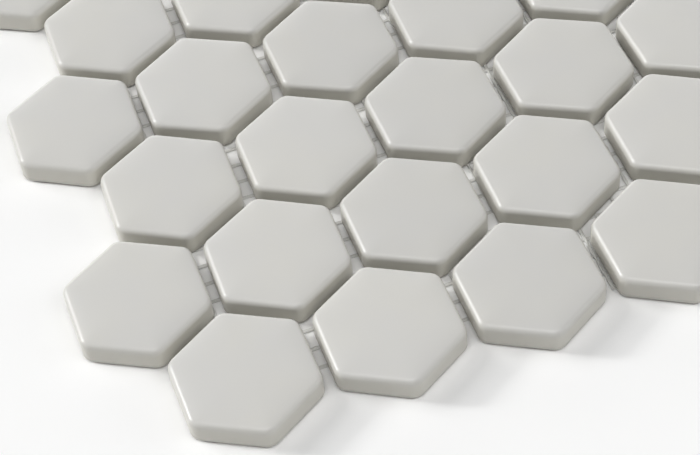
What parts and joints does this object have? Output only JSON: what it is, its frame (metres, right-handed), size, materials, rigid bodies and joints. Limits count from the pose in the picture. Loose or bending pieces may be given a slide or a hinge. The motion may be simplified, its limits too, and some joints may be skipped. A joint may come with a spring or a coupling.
{
  "type": "hexagon floor tile",
  "caption": "Hexagon mosaic floor tile: small pale glazed hexagons with soft edges, set close in staggered rows face up on a trimmed glass fibre net.",
  "frame": {"origin": "under the middle of the sheet, in the plane of the back of the net that is laid on the floor", "axes": "+X along the close rows of tiles, +Y across the rows, +Z out of the glazed faces"},
  "size_m": [0.3108, 0.2642, 0.0054],
  "materials": {
    "tile_glaze": "satin glaze",
    "backing_net": "matt woven glass fibre"
  },
  "bodies": {
    "root": {"tile_row_01": "tile_glaze", "tile_row_02": "tile_glaze", "tile_row_03": "tile_glaze", "tile_row_04": "tile_glaze", "tile_row_05": "tile_glaze", "tile_row_06": "tile_glaze", "tile_row_07": "tile_glaze", "tile_row_08": "tile_glaze", "tile_row_09": "tile_glaze", "tile_row_10": "tile_glaze", "tile_row_11": "tile_glaze", "tile_row_12": "tile_glaze", "net_strands_along_rows": "backing_net", "net_strands_across_rows": "backing_net"}
  },
  "joints": []
}
